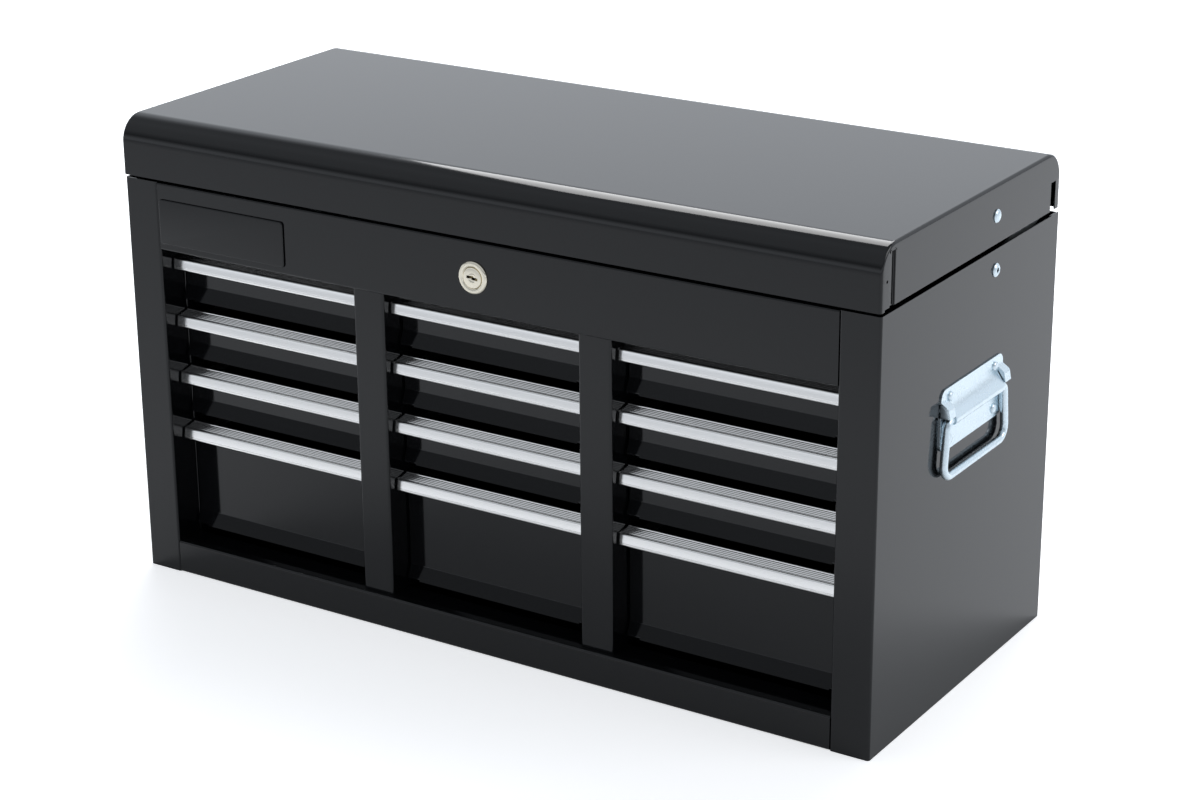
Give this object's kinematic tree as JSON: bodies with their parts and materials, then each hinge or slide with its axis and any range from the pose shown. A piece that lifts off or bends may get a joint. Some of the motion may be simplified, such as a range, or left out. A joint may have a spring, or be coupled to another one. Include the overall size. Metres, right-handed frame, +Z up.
{
  "type": "tool chest",
  "caption": "Black steel machinist's tool chest: drawers in three columns with bright full-width pulls, a hinged lid over a till, a cam lock and a drop handle on each side.",
  "frame": {"origin": "on the floor, at the centre of the chest's outline", "axes": "+X to the right of someone facing the drawers, +Y to the back, +Z up"},
  "size_m": [0.6774, 0.2908, 0.3773],
  "materials": {
    "black_enamel": "gloss",
    "bright_aluminium": "polished",
    "zinc_plate": "bright zinc",
    "zinc_steel": "satin",
    "nickel": "polished nickel"
  },
  "bodies": {
    "cabinet": {"side_left": "black_enamel", "side_right": "black_enamel", "back_panel": "black_enamel", "base_pan": "black_enamel", "bottom_rail": "black_enamel", "header": "black_enamel", "divider_left": "black_enamel", "divider_right": "black_enamel", "liner_left": "black_enamel", "liner_right": "black_enamel", "till_floor": "black_enamel", "badge_plate": "black_enamel", "runners": "zinc_steel", "hinge_leaf_body": "black_enamel", "hinge_pin": "zinc_steel", "handle_plate_left": "zinc_plate", "handle_plate_right": "zinc_plate", "handle_rivets": "zinc_plate", "body_studs": "zinc_plate", "lock_housing": "nickel", "lock_nut": "zinc_steel"},
    "drawer_r1c1": {"drawer_r1c1": "black_enamel", "pull_r1c1": "bright_aluminium"},
    "drawer_r2c1": {"drawer_r2c1": "black_enamel", "pull_r2c1": "bright_aluminium"},
    "drawer_r3c1": {"drawer_r3c1": "black_enamel", "pull_r3c1": "bright_aluminium"},
    "drawer_r4c1": {"drawer_r4c1": "black_enamel", "pull_r4c1": "bright_aluminium"},
    "drawer_r1c2": {"drawer_r1c2": "black_enamel", "pull_r1c2": "bright_aluminium"},
    "drawer_r2c2": {"drawer_r2c2": "black_enamel", "pull_r2c2": "bright_aluminium"},
    "drawer_r3c2": {"drawer_r3c2": "black_enamel", "pull_r3c2": "bright_aluminium"},
    "drawer_r4c2": {"drawer_r4c2": "black_enamel", "pull_r4c2": "bright_aluminium"},
    "drawer_r1c3": {"drawer_r1c3": "black_enamel", "pull_r1c3": "bright_aluminium"},
    "drawer_r2c3": {"drawer_r2c3": "black_enamel", "pull_r2c3": "bright_aluminium"},
    "drawer_r3c3": {"drawer_r3c3": "black_enamel", "pull_r3c3": "bright_aluminium"},
    "drawer_r4c3": {"drawer_r4c3": "black_enamel", "pull_r4c3": "bright_aluminium"},
    "lid": {"lid_top": "black_enamel", "lid_end_left": "black_enamel", "lid_end_right": "black_enamel", "hinge_leaf_lid": "black_enamel", "lid_studs": "zinc_plate"},
    "stay_lower_left": {"stay_lower_left": "zinc_steel", "knee_rivet_left": "zinc_steel"},
    "stay_upper_left": {"stay_upper_left": "zinc_steel"},
    "stay_lower_right": {"stay_lower_right": "zinc_steel", "knee_rivet_right": "zinc_steel"},
    "stay_upper_right": {"stay_upper_right": "zinc_steel"},
    "bail_left": {"bail_left": "zinc_plate"},
    "bail_right": {"bail_right": "zinc_plate"},
    "lock_plug": {"lock_plug": "nickel", "lock_cam": "zinc_steel"}
  },
  "joints": [
    {"name": "drawer_r1c1_slide", "type": "slide", "parent": "cabinet", "child": "drawer_r1c1", "axis": [0, -1, 0], "range_m": [0, 0.19]},
    {"name": "drawer_r2c1_slide", "type": "slide", "parent": "cabinet", "child": "drawer_r2c1", "axis": [0, -1, 0], "range_m": [0, 0.19]},
    {"name": "drawer_r3c1_slide", "type": "slide", "parent": "cabinet", "child": "drawer_r3c1", "axis": [0, -1, 0], "range_m": [0, 0.19]},
    {"name": "drawer_r4c1_slide", "type": "slide", "parent": "cabinet", "child": "drawer_r4c1", "axis": [0, -1, 0], "range_m": [0, 0.19]},
    {"name": "drawer_r1c2_slide", "type": "slide", "parent": "cabinet", "child": "drawer_r1c2", "axis": [0, -1, 0], "range_m": [0, 0.19]},
    {"name": "drawer_r2c2_slide", "type": "slide", "parent": "cabinet", "child": "drawer_r2c2", "axis": [0, -1, 0], "range_m": [0, 0.19]},
    {"name": "drawer_r3c2_slide", "type": "slide", "parent": "cabinet", "child": "drawer_r3c2", "axis": [0, -1, 0], "range_m": [0, 0.19]},
    {"name": "drawer_r4c2_slide", "type": "slide", "parent": "cabinet", "child": "drawer_r4c2", "axis": [0, -1, 0], "range_m": [0, 0.19]},
    {"name": "drawer_r1c3_slide", "type": "slide", "parent": "cabinet", "child": "drawer_r1c3", "axis": [0, -1, 0], "range_m": [0, 0.19]},
    {"name": "drawer_r2c3_slide", "type": "slide", "parent": "cabinet", "child": "drawer_r2c3", "axis": [0, -1, 0], "range_m": [0, 0.19]},
    {"name": "drawer_r3c3_slide", "type": "slide", "parent": "cabinet", "child": "drawer_r3c3", "axis": [0, -1, 0], "range_m": [0, 0.19]},
    {"name": "drawer_r4c3_slide", "type": "slide", "parent": "cabinet", "child": "drawer_r4c3", "axis": [0, -1, 0], "range_m": [0, 0.19]},
    {"name": "lid_hinge", "type": "hinge", "parent": "cabinet", "child": "lid", "pos_m": [0, 0.1431, 0.3315], "axis": [-1, 0, 0], "range_deg": [0, 92]},
    {"name": "stay_lower_left_turn", "type": "hinge", "parent": "cabinet", "child": "stay_lower_left", "pos_m": [-0.3255, 0.0346, 0.3135], "axis": [1, 0, 0], "range_deg": [0, 24.42]},
    {"name": "stay_upper_left_turn", "type": "hinge", "parent": "stay_lower_left", "child": "stay_upper_left", "pos_m": [-0.3274, 0.12446, 0.33711], "axis": [-1, 0, 0], "range_deg": [0, 146.42]},
    {"name": "stay_lower_right_turn", "type": "hinge", "parent": "cabinet", "child": "stay_lower_right", "pos_m": [0.3255, 0.0346, 0.3135], "axis": [1, 0, 0], "range_deg": [0, 24.42]},
    {"name": "stay_upper_right_turn", "type": "hinge", "parent": "stay_lower_right", "child": "stay_upper_right", "pos_m": [0.3274, 0.12446, 0.33711], "axis": [-1, 0, 0], "range_deg": [0, 146.42]},
    {"name": "bail_left_swing", "type": "hinge", "parent": "cabinet", "child": "bail_left", "pos_m": [-0.3345, 0.00135, 0.224], "axis": [0, 1, 0], "range_deg": [0, 90]},
    {"name": "bail_right_swing", "type": "hinge", "parent": "cabinet", "child": "bail_right", "pos_m": [0.3345, 0.00135, 0.224], "axis": [0, -1, 0], "range_deg": [0, 90]},
    {"name": "lock_turn", "type": "hinge", "parent": "cabinet", "child": "lock_plug", "pos_m": [0, -0.1434, 0.3015], "axis": [0, -1, 0], "range_deg": [0, 90]}
  ],
  "couplings": [
    {"joint": "stay_lower_left_turn", "follows": "lid_hinge", "ratio": 0.2652},
    {"joint": "stay_upper_left_turn", "follows": "lid_hinge", "ratio": 1.5913},
    {"joint": "stay_lower_right_turn", "follows": "lid_hinge", "ratio": 0.2652},
    {"joint": "stay_upper_right_turn", "follows": "lid_hinge", "ratio": 1.5913}
  ]
}
